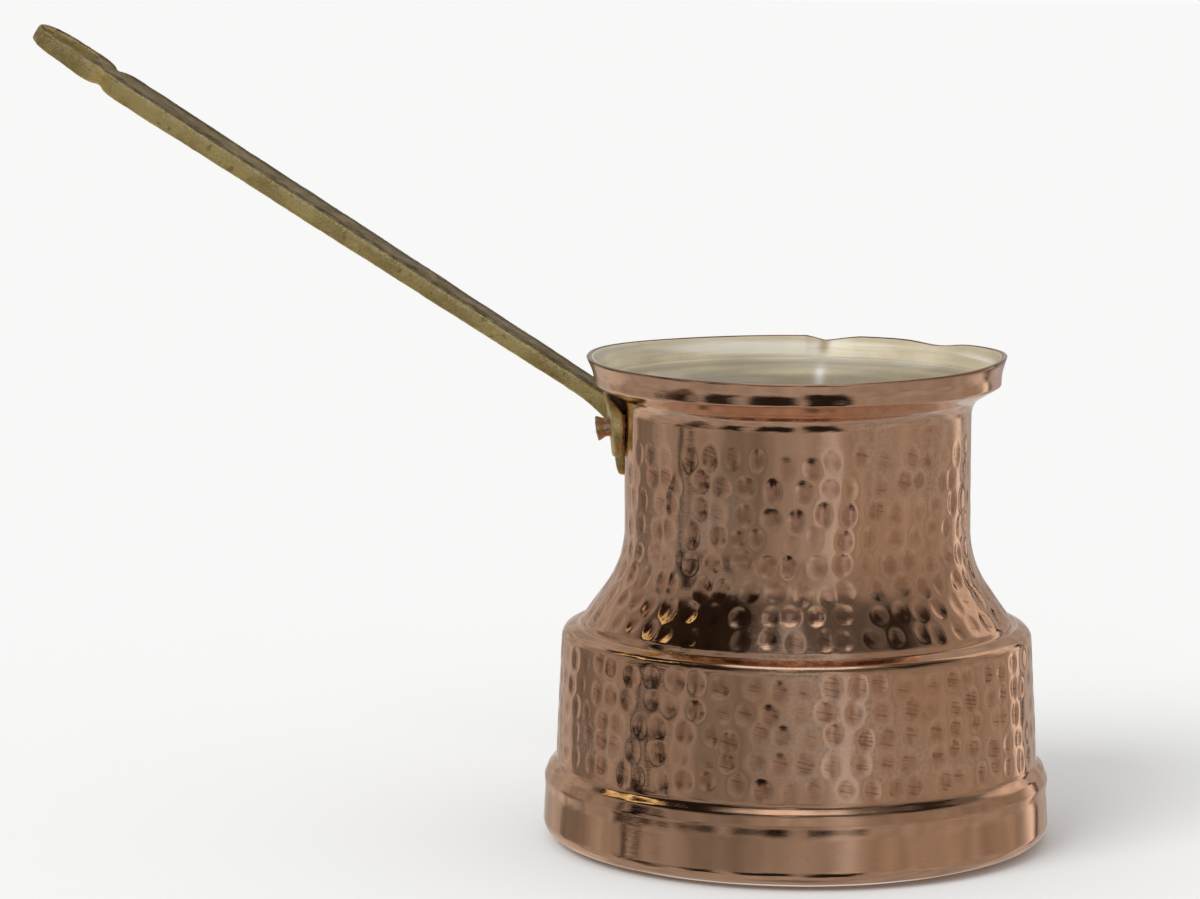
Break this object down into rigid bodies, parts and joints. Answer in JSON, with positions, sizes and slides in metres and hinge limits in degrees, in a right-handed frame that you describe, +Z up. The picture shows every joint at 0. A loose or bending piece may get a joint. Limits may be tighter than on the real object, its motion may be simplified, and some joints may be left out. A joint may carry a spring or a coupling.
{
  "type": "cezve coffee pot",
  "caption": "Hammered copper cezve with a stepped base, bell-shaped body, flared rim with a pouring lip, tinned inside, and a long riveted brass handle ending in a hanging ring.",
  "frame": {"origin": "centre of the base's underside", "axes": "+Z up along the pot's axis, -X along the handle as seen from above, +Y towards the pouring lip"},
  "size_m": [0.2123, 0.1008, 0.16],
  "materials": {
    "copper": null,
    "tin": null,
    "cast_brass": "rough sand-cast brass with dark tarnish on its upper face",
    "rivet_copper": "hand-peened copper"
  },
  "bodies": {
    "root": {"pot_body": "copper", "tin_lining": "tin", "handle": "cast_brass", "rivet_left": "rivet_copper", "rivet_right": "rivet_copper"}
  },
  "joints": []
}
